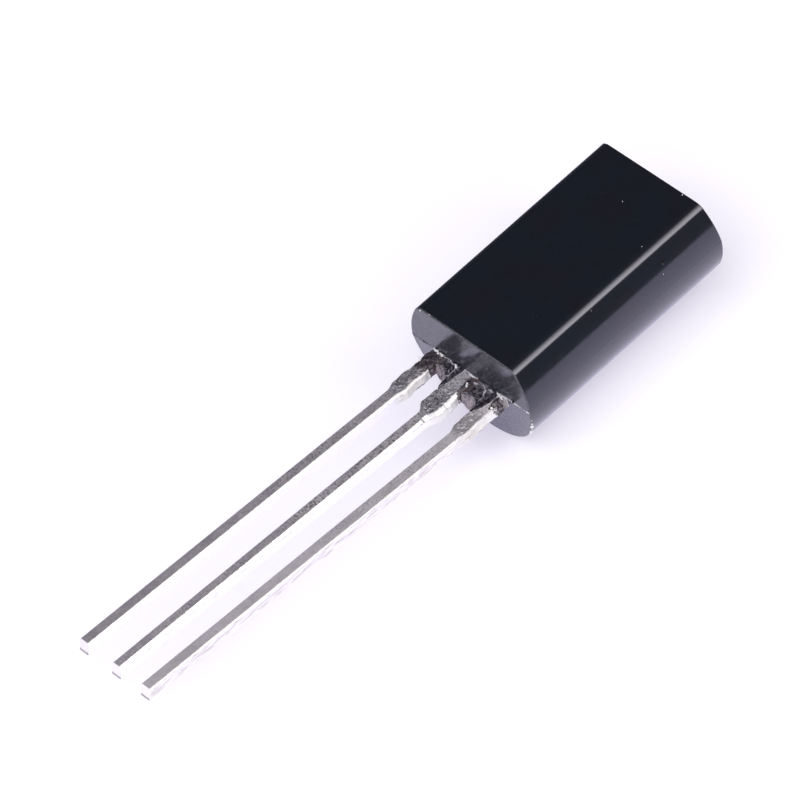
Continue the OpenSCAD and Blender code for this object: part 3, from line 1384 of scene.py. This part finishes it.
@dataclass
class Flash:
    """The resin between two leads: a creased slab with a slanting front, lapping over its right lead.

    The brow and the foot of its front are given as shares of its width and distances from the
    case, and its laps over the right lead as distances from the case and widths.
    """

    name: str
    case: Case
    left: float
    right: float
    brows: tuple[Pair, ...]
    feet: tuple[Pair, ...]
    laps: tuple[Pair, ...]
    creases: tuple[Crease, ...]
    seed: float
    milk: float = 1.0
    thickness: float = 0.33 * MM
    tuck: float = 0.02 * MM
    band: float = 0.11 * MM
    film: float = 0.035 * MM
    groove: float = 0.05 * MM
    groove_depth: float = 0.05 * MM
    dish: float = 0.03 * MM
    dish_reach: float = 0.12 * MM
    unevenness: float = 0.02 * MM
    edge_radius: float = 0.02 * MM
    columns: int = 80
    top_rows: int = 56
    front_rows: int = 14
    bottom_rows: int = 6

    def border(self, along: float) -> float:
        """X of the slab's right border, which lies on top of the right lead near the case."""
        return self.right + max(self.tuck, through(self.laps, along))

    def lift(self, x: float, along: float, depth: float) -> float:
        """Finds the top: dished, with creases and a groove, and a thin film over the right lead.

        Args:
            x: The place across.
            along: The distance from the case.
            depth: How far the top reaches from the case.

        Returns:
            Its height over the parting plane.
        """
        inner = min(x - self.left, self.right - x, along, depth - along)
        dished = self.dish * smooth(0.0, self.dish_reach, inner)
        wave = rough((x, along, self.seed * MM), 0.2 * MM) * self.unevenness
        raised = sum(crease.height * crease.at(x, along) for crease in self.creases)
        groove = self.groove_depth * bell(x - self.right + self.groove, self.groove)
        groove *= smooth(0.03 * MM, 0.12 * MM, along) * smooth(0.0, 0.06 * MM, depth - along)
        over = smooth(self.right - 0.03 * MM, self.right + 0.02 * MM, x)
        lap = self.border(along) - self.right
        film = self.film * (1 - clamp((x - self.right) / lap) ** 3)
        film *= smooth(self.tuck, 3 * self.tuck, lap)
        free = wave * smooth(0.0, 0.05 * MM, along) - dished - groove
        return raised * (1 - 0.6 * over) + free * (1 - over) + film * over

    def profile(self, share: float) -> list[Row]:
        """Follows the slab round at one share of its width: over its top, down its front and back.

        Args:
            share: 0 at the left border and 1 at the right one.

        Returns:
            For each point its X, its distance from the case, its height and 1 where it is on the front.
        """
        brow = through(self.brows, share) + rough((share * 5, self.seed, 0.0)) * self.unevenness
        foot = through(self.feet, share)
        radius = self.edge_radius
        first = self.left - self.tuck
        x, edge = first, 0.0
        points = []
        for row in range(self.top_rows + 1):
            along = -self.tuck + (brow - radius + self.tuck) * row / self.top_rows
            x = first + (self.border(along) - first) * share
            edge = self.lift(x, along, brow)
            points.append((x, along, edge, 0.0))
        points.append((x, brow - radius * 0.3, edge - radius * 0.3, 0.6))
        for row in range(self.front_rows + 1):
            down = row / self.front_rows
            height = (edge - radius) * (1 - down) - self.thickness * down
            points.append((x, brow + (foot - brow) * down, height, 1.0))
        for row in range(1, self.bottom_rows + 1):
            points.append((x, foot - (foot + self.tuck) * row / self.bottom_rows, -self.thickness, 0.0))
        return points

    def finish(self, share: float, x: float, along: float, cut: float, top: bool) -> Row:
        """Works out what the surface of the slab is like.

        Args:
            share: The share of the slab's width.
            x: The place across.
            along: The distance from the case.
            cut: 1 on the front.
            top: Whether the place is on the top.

        Returns:
            The FLASH_FIELDS.
        """
        crease = furrow = 0.0
        if top:
            crease = max(line.at(x, along) for line in self.creases if line.height > 0)
            furrow = max([0.0] + [line.at(x, along) for line in self.creases if line.height < 0])
        inner = self.border(along) - x
        milk = self.milk * smooth(self.band, self.band + 0.04 * MM, inner) * (1 - furrow)
        free = smooth(0.0, 0.06 * MM, along)
        return (0.12 + 0.8 * crease - 0.3 * furrow, milk, smooth(0.3, 0.0, share), cut,
                free, free * (1 - cut))

    def build(self, resin: Material, skin: Recipe) -> Piece:
        """Builds the slab.

        Args:
            resin: Its finish.
            skin: The recipe that roughens it.

        Returns:
            The finished slab, closed all round.
        """
        points: list[Point] = []
        fields: list[Row] = []
        for column in range(self.columns + 1):
            share = column / self.columns
            for number, (x, along, height, cut) in enumerate(self.profile(share)):
                points.append((x, self.case.exit_y - along, self.case.parting_z + height))
                fields.append(self.finish(share, x, along, cut, number <= self.top_rows + 1))
        width = len(points) // (self.columns + 1)
        slab = add_tube(self.name, points, width, dict(zip(FLASH_FIELDS, zip(*fields))), resin)
        return skin.run(slab, resin, Grain_size=0.09 * MM, Grain_depth=0.004 * MM,
                        Wrinkle_size=0.25 * MM, Wrinkle_depth=0.010 * MM, Seed=self.seed)


# ---------------------------------------------------------------- chips, dust and the bead


@dataclass
class Debris:
    """Chips of resin round the roots and on the front rim, specks of dust, and the parting bead.

    Each chip is given in millimetres as its X, its distance out from the case, its radius and how
    pale it is. So is each speck of dust, but with its distance back along the case. The radii on
    the rim are in millimetres too.
    """

    case: Case
    root_chips: tuple[Row, ...] = (
        (-1.45, 0.030, 0.042, 1.0), (-1.37, 0.060, 0.050, 0.9), (-1.31, 0.030, 0.034, 0.7),
        (-1.25, 0.080, 0.032, 1.0), (-1.18, 0.050, 0.036, 0.8), (-1.10, 0.070, 0.034, 0.8),
        (-1.54, 0.540, 0.040, 1.2), (-1.51, 0.600, 0.030, 1.0), (0.300, 0.430, 0.036, 1.8),
        (0.265, 0.385, 0.038, 1.8), (0.235, 0.345, 0.032, 1.8), (-0.48, 0.090, 0.045, 1.0),
        (-0.45, 0.130, 0.036, 0.9), (-0.02, 0.030, 0.022, 1.0), (0.05, 0.045, 0.026, 1.0),
        (0.12, 0.055, 0.028, 1.2), (0.19, 0.065, 0.030, 1.2), (0.25, 0.075, 0.024, 1.0),
        (1.20, 0.055, 0.030, 1.0), (1.26, 0.070, 0.040, 1.2), (1.33, 0.090, 0.042, 1.2),
        (1.40, 0.110, 0.038, 1.1), (1.47, 0.130, 0.026, 0.9), (1.46, 0.556, 0.034, 1.2),
        (1.42, 0.600, 0.030, 0.0), (1.39, 0.240, 0.036, 0.0), (1.80, 0.010, 0.045, 0.0),
    )
    dust: tuple[Row, ...] = (
        (-1.80, 0.08, 0.020, 0.8), (-1.467, 0.13, 0.016, 0.9), (0.07, 6.58, 0.014, 0.9),
        (1.31, 7.82, 0.018, 1.0), (-0.617, 6.45, 0.020, 0.0), (1.76, 5.66, 0.024, 0.0),
        (1.73, 5.71, 0.015, 1.0), (2.371, 5.76, 0.018, 1.0), (2.275, 5.88, 0.050, 0.15),
        (1.03, 1.92, 0.028, 0.0), (1.10, 1.99, 0.018, 0.0), (2.10, 3.20, 0.014, 0.8),
    )
    rim_angles: Row = (9.0, 14.0, 18.0, 22.0, 27.0, 31.0, 36.0)
    rim_radii: Row = (0.024, 0.036, 0.048)
    rim_pale: float = 1.1
    bead_radius: float = 0.014 * MM
    bead_start: float = 1.52 * MM
    bead_pale: Row = (0.0, 0.55, 0.7, 1.2)

    def chips(self) -> list[Row]:
        """Lists the chips and the dust.

        Returns:
            For each its X, Y, Z and radius in metres, and how pale it is.
        """
        case = self.case
        found = []
        for x, along, radius, pale in self.root_chips:
            up = (0.02 + radius) * MM
            found.append((x * MM, case.exit_y - along * MM, case.parting_z + up, radius * MM, pale))
        for x, behind, radius, pale in self.dust:
            height = case.height(x * MM) + 0.2 * radius * MM
            found.append((x * MM, case.exit_y + behind * MM, height, radius * MM, pale))
        for number, degrees in enumerate(self.rim_angles):
            angle = math.radians(degrees)
            x, z = case.radius * math.cos(angle), case.parting_z - case.radius * math.sin(angle)
            radius = self.rim_radii[number % len(self.rim_radii)] * MM
            found.append((x, case.end_y(z, True) + 0.01 * MM, z, radius, self.rim_pale))
        return found

    def build(self) -> list[Piece]:
        """Builds the chips as one piece, and the two ends of the bead as another.

        Returns:
            Both pieces.
        """
        grit = Grit().material()
        chips = self.chips()
        grains = add_object("resin_chips", [chip[:3] for chip in chips], [])
        set_fields(grains, {"radius": [chip[3] for chip in chips], "pale": [chip[4] for chip in chips]})
        chip_maker().run(grains, grit, Roughness=0.7)
        case = self.case
        ends = (-case.radius, -self.bead_start, self.bead_start, case.radius)
        line = [(x, case.exit_y, case.parting_z) for x in ends]
        bead = add_object("parting_bead", line, [], edges=[(0, 1), (2, 3)])
        set_fields(bead, {"pale": self.bead_pale})
        bead_maker().run(bead, grit, Radius=self.bead_radius, Step=0.02 * MM, Patch_size=0.09 * MM)
        return [grains, bead]


def chip_maker() -> Recipe:
    """Builds the tree that puts a rough, randomly turned grain on each point.

    Returns:
        The tree, which reads the field radius.
    """
    tree = Recipe("chips", "Roughness")
    ball = tree.output("GeometryNodeMeshIcoSphere", {"Radius": 1.0, "Subdivisions": 2})

    def drawn(least: float, most: float, seed: int) -> Socket:
        """A random vector for each point, with parts between least and most."""
        return tree.output("FunctionNodeRandomValue", {0: (least,) * 3, 1: (most,) * 3, "Seed": seed},
                           {"data_type": "FLOAT_VECTOR"})

    grains = tree.output("GeometryNodeInstanceOnPoints", {
        "Points": tree.geometry, "Instance": ball, "Rotation": drawn(0.0, 6.3, 1),
        "Scale": tree.scaled(drawn(0.5, 1.4, 2), tree.field("radius"))})
    real = tree.output("GeometryNodeRealizeInstances", {"Geometry": grains})
    bumps = (tree.noise(0.03 * MM, 1.0) - 0.5) * tree.size("Roughness") * tree.field("radius")
    return tree.close(tree.pushed_out(real, bumps))


def bead_maker() -> Recipe:
    """Builds the tree that runs a lumpy bead along the edges of a mesh.

    Returns:
        The tree, which keeps the fields of the mesh.
    """
    tree = Recipe("parting_bead", "Radius", "Step", "Patch size")
    line = tree.output("GeometryNodeMeshToCurve", {"Mesh": tree.geometry})
    fine = tree.output("GeometryNodeResampleCurve", {"Curve": line, "Length": tree.size("Step")},
                       {"mode": "LENGTH"})
    lumps = tree.noise(tree.size("Patch size")).ramp(0.4, 0.65, 0.15, 1.6)
    ring = tree.output("GeometryNodeCurvePrimitiveCircle", {"Resolution": 6, "Radius": 1.0})
    return tree.close(tree.output("GeometryNodeCurveToMesh", {
        "Curve": fine, "Profile Curve": ring, "Fill Caps": True, "Scale": lumps * tree.size("Radius")}))


# ---------------------------------------------------------------- the studio


@dataclass(frozen=True)
class Lamp:
    """A soft rectangular lamp. Where it has a peak, it is brightest at that share of its width."""

    name: str
    toward: Point
    size: Pair
    radiance: float
    tint: Colour = (1.0, 1.0, 1.0)
    peak: float | None = None
    mirrored: bool = True
    distance: float = 0.35

    def place(self, aim: Vector) -> None:
        """Makes the lamp, hidden from the camera.

        Args:
            aim: The place that it shines on.
        """
        data = bpy.data.lights.new(self.name, "AREA")
        data.shape = "RECTANGLE"
        data.size, data.size_y = self.size
        data.energy = self.radiance * math.pi * self.size[0] * self.size[1]
        data.color = self.tint
        if self.peak:
            data.use_nodes = True
            tree = Graph(data.node_tree)
            place = tree.node("ShaderNodeNewGeometry").outputs["Parametric"]
            across = tree.value("ShaderNodeSeparateXYZ", "X", inputs={"Vector": place})
            strength = across.ramp(0.0, self.peak) * across.ramp(1.0, self.peak)
            glow = tree.output("ShaderNodeEmission", {"Strength": strength})
            tree.node("ShaderNodeOutputLight", inputs={"Surface": glow})
        lamp = bpy.data.objects.new(self.name, data)
        back = Vector(self.toward).normalized()
        right = Vector((0, 1, 0)).cross(back).normalized()
        lamp.matrix_world = axes(right, back.cross(right), back, aim + back * self.distance)
        lamp.visible_camera = False
        lamp.visible_glossy = self.mirrored
        bpy.context.scene.collection.objects.link(lamp)


def axes(right: Vector, up: Vector, back: Vector, place: Vector) -> Matrix:
    """Makes a placement from its axes.

    Args:
        right: The direction of its X axis.
        up: The direction of its Y axis.
        back: The direction of its Z axis.
        place: Where its origin is.

    Returns:
        The matrix.
    """
    made = Matrix((right, up, back)).transposed().to_4x4()
    made.translation = place
    return made


@dataclass
class Studio:
    """A white table under soft lamps, dark cards on both sides, a dark room, and the camera."""

    aim: Vector = field(default_factory=lambda: Vector((-0.681, 0.867, 2.828)) * MM)
    azimuth: float = 58.489
    elevation: float = 49.665
    roll: float = -16.474
    distance: float = 229.9 * MM
    lens: float = 360.0
    lamps: tuple[Lamp, ...] = (
        Lamp("edge_lamp", (0.563, 0.335, 0.76), (0.38, 0.12), 6.5, (1.0, 0.975, 0.90), 0.7),
        Lamp("broad_lamp", (0.12, -0.42, 0.9), (0.36, 0.30), 3.3),
        Lamp("low_lamp", (0.9, -0.35, 0.25), (0.30, 0.20), 1.9, mirrored=False),
    )
    card_places: tuple[Pair, ...] = table_mm((11.6, 9.0), (-9.0, 6.0))
    card_half: float = 0.5
    card_glow: Colour = (0.12, 0.125, 0.15)
    table_half: float = 0.6
    table: Colour = (0.62, 0.62, 0.61)
    table_glow: Colour = (0.462, 0.434, 0.545)
    table_sheen: Colour = (0.56, 0.52, 0.76)
    sky: Colour = (0.06, 0.06, 0.066)
    horizon: Colour = (1.0, 0.97, 1.0)

    def camera(self) -> None:
        """Makes the scene's camera."""
        turn, tilt, roll = (math.radians(angle) for angle in (self.azimuth, self.elevation, self.roll))
        back = Vector((math.sin(turn) * math.cos(tilt), -math.cos(turn) * math.cos(tilt), math.sin(tilt)))
        level = Vector((0, 0, 1)).cross(back).normalized()
        right = level * math.cos(roll) + back.cross(level) * math.sin(roll)
        data = bpy.data.cameras.new("camera")
        data.lens = self.lens
        data.sensor_width = 36.0
        data.clip_start, data.clip_end = 0.01, 10.0
        camera = bpy.data.objects.new("camera", data)
        camera.matrix_world = axes(right, back.cross(right), back, self.aim + back * self.distance)
        bpy.context.scene.collection.objects.link(camera)
        bpy.context.scene.camera = camera

    def floor(self) -> None:
        """Makes the white table, which the camera and shiny surfaces see brighter than it is lit."""
        half = self.table_half
        tree = Surface("table")
        rays = tree.node("ShaderNodeLightPath").outputs
        mirrored = Value(tree, rays["Is Glossy Ray"])
        shown = Value(tree, rays["Is Camera Ray"]).at_least(mirrored)
        shown = shown.at_least(Value(tree, rays["Is Transmission Ray"]))
        white = tree.output("ShaderNodeBsdfDiffuse", {"Color": self.table})
        glow = tree.output("ShaderNodeEmission", {
            "Color": tree.mix(mirrored, self.table_glow, self.table_sheen), "Strength": shown})
        material = tree.finish(tree.output("ShaderNodeAddShader", {0: white, 1: glow}))
        corners = [(-half, -half, 0.0), (half, -half, 0.0), (half, half, 0.0), (-half, half, 0.0)]
        add_object("table", corners, [(0, 1, 2, 3)], material)

    def cards(self) -> None:
        """Makes the dark cards, which only darken what shiny surfaces reflect."""
        half = self.card_half
        tree = Surface("dark_card")
        material = tree.finish(tree.output("ShaderNodeEmission", {"Color": self.card_glow}))
        for number, (x, top) in enumerate(self.card_places):
            corners = [(x, -half, 0.0), (x, half, 0.0), (x, half, top), (x, -half, top)]
            card = add_object(f"dark_card_{number}", corners, [(0, 1, 2, 3)], material)
            card.visible_camera = card.visible_diffuse = card.visible_shadow = False

    def surroundings(self) -> None:
        """Makes the room: pale at the horizon and below it, dark above."""
        world = bpy.data.worlds.new("room")
        bpy.context.scene.world = world
        world.use_nodes = True
        tree = Graph(world.node_tree)
        place = tree.node("ShaderNodeTexCoord").outputs["Generated"]
        height = tree.value("ShaderNodeSeparateXYZ", "Z", inputs={"Vector": place})
        colour = tree.mix(height.ramp(0.03, 0.09), self.horizon, self.sky)
        back = tree.output("ShaderNodeBackground", {"Color": colour, "Strength": 1.0})
        tree.node("ShaderNodeOutputWorld", inputs={"Surface": back})

    def build(self) -> None:
        """Builds the studio and sets plain colour handling."""
        self.camera()
        self.floor()
        self.cards()
        for lamp in self.lamps:
            lamp.place(self.aim)
        self.surroundings()
        bpy.context.scene.view_settings.view_transform = "Standard"


# ---------------------------------------------------------------- everything


def outer_inside(centre: float, width: float) -> tuple[Point, ...]:
    """What an outer lead is like inside the case: straight, and then the bond post at its end.

    Args:
        centre: X of the lead's middle. The post reaches further out than the lead, on either side.
        width: The lead's width.

    Returns:
        For each stretch where it starts, its left side and its right side.
    """
    start, end, inner = mm(1.1, 2.1, 0.64)
    outer = abs(centre) + width / 2 + 0.2 * MM
    post = (-outer, -inner) if centre < 0 else (inner, outer)
    return (-start, centre - width / 2, centre + width / 2), (-end, *post)


def build_leads(case: Case, skin: Recipe) -> None:
    """Builds the three leads of a case, each with its own finish.

    Args:
        case: The case that they leave.
        skin: The recipe that roughens them.
    """
    pitch, outer, middle = mm(1.27, 0.46, 0.68)
    pad_start, pad_end, pad_half = mm(2.45, 5.05, 1.15)
    emitter = Lead(
        "emitter_lead", case, -pitch, outer, outer_inside(-pitch, outer),
        left_bevels=mm(0.03, 0.04),
        right_bevels=table_mm((0.5, 0.05), (1.5, 0.065), (14, 0.075)),
        smears=(Smear(*mm(-0.05, 0.30, 0.6, 0.55), 1.3, 0.0), Smear(*mm(0.2, 0.42, 0.6, 0.28), 0.0, 1.2)),
        grime=0.3, tone=-0.02, painted_bottom_shade=1.0, seed=1.0, rim=1.2, shifts=mm(-0.045, -0.045),
    )
    collector = Lead(
        "collector_lead", case, 0.0, middle,
        ((-pad_start, -middle / 2, middle / 2), (-pad_end, -pad_half, pad_half)),
        left_bevels=mm(0.045, 0.05),
        right_bevels=table_mm((0.6, 0.06), (1.0, 0.12), (1.7, 0.14), (2.4, 0.09), (14, 0.115)),
        smears=(Smear(*mm(0.29, 0.25, 0.18, 0.30), 1.3, 1.3), Smear(*mm(0.28, 0.60, 0.10, 0.24), 1.2, 1.1)),
        grime=0.35, tone=0.03, painted_bottom_shade=0.3, seed=2.0, shifts=mm(-0.02, 0.055),
        bites=((Side.RIGHT, *mm(0.75, 0.28, 0.06)),),
    )
    base = Lead(
        "base_lead", case, pitch, outer, outer_inside(pitch, outer),
        left_bevels=mm(0.025, 0.035),
        right_bevels=table_mm((0.5, 0.045), (14, 0.06)),
        smears=(Smear(*mm(0.16, 0.36, 0.10, 0.27), 1.05, 0.0), Smear(*mm(0.06, 0.26, 0.13, 0.20), 0.55, 0.0),
                Smear(*mm(0.23, 0.33, 0.4, 0.23), 0.0, 0.85)),
        grime=0.6, tone=-0.08, painted_bottom_shade=0.5, seed=3.0, rim=0.7, rim_reach=0.21 * MM,
    )
    finishes = (
        TinWithResidue(shade=0.87, speckle=0.75, chalk=0.95, painted_wrinkle_shading=0.8, cool=(1.45, 1.51, 1.49)),
        TinWithResidue(shade=0.88, speckle=1.3, chalk=0.5, painted_wrinkle_shading=1.25, cool=(1.35, 1.4, 1.4), blotches=0.2),
        TinWithResidue(shade=0.87, speckle=0.45, chalk=0.7, painted_wrinkle_shading=0.4, cool=(1.64, 1.64, 1.6),
                       blotches=0.8, metal=0.2, root_speckle=2.0, specks=0.4, gleam=0.7),
    )
    for lead, finish in zip((emitter, collector, base), finishes):
        piece = lead.build(finish.material(f"tinned_{lead.node}"), skin)
        place_piece(piece, "tinned_lead", lead.node)


def across_mm(*stops: Pair) -> tuple[Pair, ...]:
    """Stops given as a share of a width and a length in millimetres, with the length in metres."""
    return tuple((share, length * MM) for share, length in stops)


def creases(*lines: tuple[Any, ...]) -> tuple[Crease, ...]:
    """Makes the creases of a web from lines given in millimetres.

    Args:
        lines: For each crease its places one after the other, its width and its height.

    Returns:
        A crease for each stretch between two places.
    """
    found = []
    for *places, width, height in lines:
        for start, end in zip(places, places[1:]):
            found.append(Crease(mm(*start), mm(*end), width * MM, height * MM))
    return tuple(found)


def build_flashes(case: Case, skin: Recipe) -> None:
    """Builds the two webs of resin between the leads of a case.

    Args:
        case: The case that they belong to.
        skin: The recipe that roughens them.
    """
    inner, outer = mm(0.34, 1.04)
    left = Flash(
        "flash_left", case, -outer, -inner,
        brows=across_mm((0.0, 0.38), (0.3, 0.29), (0.45, 0.33), (0.52, 0.45), (0.75, 0.53), (0.9, 0.95),
                        (1.0, 1.03)),
        feet=across_mm((0.0, 0.475), (0.4, 0.567), (0.7, 0.61), (0.9, 1.0), (1.0, 1.05)),
        laps=table_mm((0.0, 0.11), (0.39, 0.075), (0.61, 0.05), (0.85, 0.0)),
        creases=creases(
            ((-1.01, 0.04), (-0.79, 0.017), (-0.59, 0.05), (-0.48, 0.09), 0.02, 0.02),
            ((-0.50, 0.085), (-0.46, 0.10), 0.045, 0.03),
            ((-0.484, 0.13), (-0.451, 0.337), (-0.466, 0.461), (-0.479, 0.60), 0.017, 0.02),
            ((-0.34, 0.78), (-0.43, 1.02), 0.028, 0.02),
            ((-0.545, 0.247), (-0.575, 0.40), (-0.6955, 0.39), (-0.65, 0.48), 0.045, -0.055)),
        seed=11.0, milk=0.6)
    right = Flash(
        "flash_right", case, inner, outer,
        brows=across_mm((0.0, 0.69), (0.45, 0.60), (0.62, 0.64), (0.78, 0.78), (0.9, 1.0), (1.0, 1.05)),
        feet=across_mm((0.0, 0.76), (0.4, 0.83), (0.7, 0.90), (0.9, 1.02), (1.0, 1.07)),
        laps=table_mm((0.0, 0.17), (0.24, 0.205), (0.384, 0.195), (0.65, 0.15), (0.85, 0.06), (1.0, 0.0)),
        creases=creases(
            ((0.63, 0.08), (0.79, 0.143), (0.88, 0.353), 0.027, 0.02),
            ((0.86, 0.10), (0.96, 0.093), (1.075, 0.121), 0.024, 0.02),
            ((0.31, 0.20), (0.46, 0.13), 0.020, 0.012),
            ((0.34, 0.65), (0.50, 0.59), (0.76, 0.57), 0.014, 0.008),
            ((1.05, 1.04), (1.17, 0.95), 0.026, 0.02),
            ((0.90, 0.24), (0.93, 0.29), 0.045, -0.03),
            ((0.90, 0.58), (0.99, 0.42), 0.03, -0.02)),
        seed=17.0)
    resin = FlashResin().material()
    for flash in (left, right):
        place_piece(flash.build(resin, skin), "moulded_resin", "body")


def dress_inside() -> None:
    """Gives the sealed pieces their finishes."""
    gold = Metal("bond_wire", (0.85, 0.66, 0.3), (0.7, 0.5, 0.2), 0.22, 0.03 * MM).material()
    finishes = {
        "die": Metal("silicon", (0.26, 0.27, 0.32), (0.2, 0.21, 0.26), 0.12, 0.2 * MM, 0.6).material(),
        "die_solder": Metal("solder", (0.5, 0.5, 0.52), (0.36, 0.36, 0.38), 0.45, 0.06 * MM).material(),
        "emitter_wire": gold,
        "base_wire": gold,
    }
    for node, material in finishes.items():
        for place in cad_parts[node].material_slots:
            place.material = material


def main() -> None:
    """Builds the studio and the object, piece by piece."""
    logging.basicConfig(level=logging.INFO, format="%(name)s: %(message)s")
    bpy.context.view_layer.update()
    Studio().build()
    case = Case(Resin().material())
    inner = ("emitter_lead", "collector_lead", "base_lead", "die", "die_solder", "emitter_wire", "base_wire")
    place_piece(case.build(inner), "moulded_resin", "body")
    skin = rough_skin()
    build_leads(case, skin)
    build_flashes(case, skin)
    for piece in Debris(case).build():
        place_piece(piece, "moulded_resin")
    dress_inside()


if __name__ == "__main__":
    main()
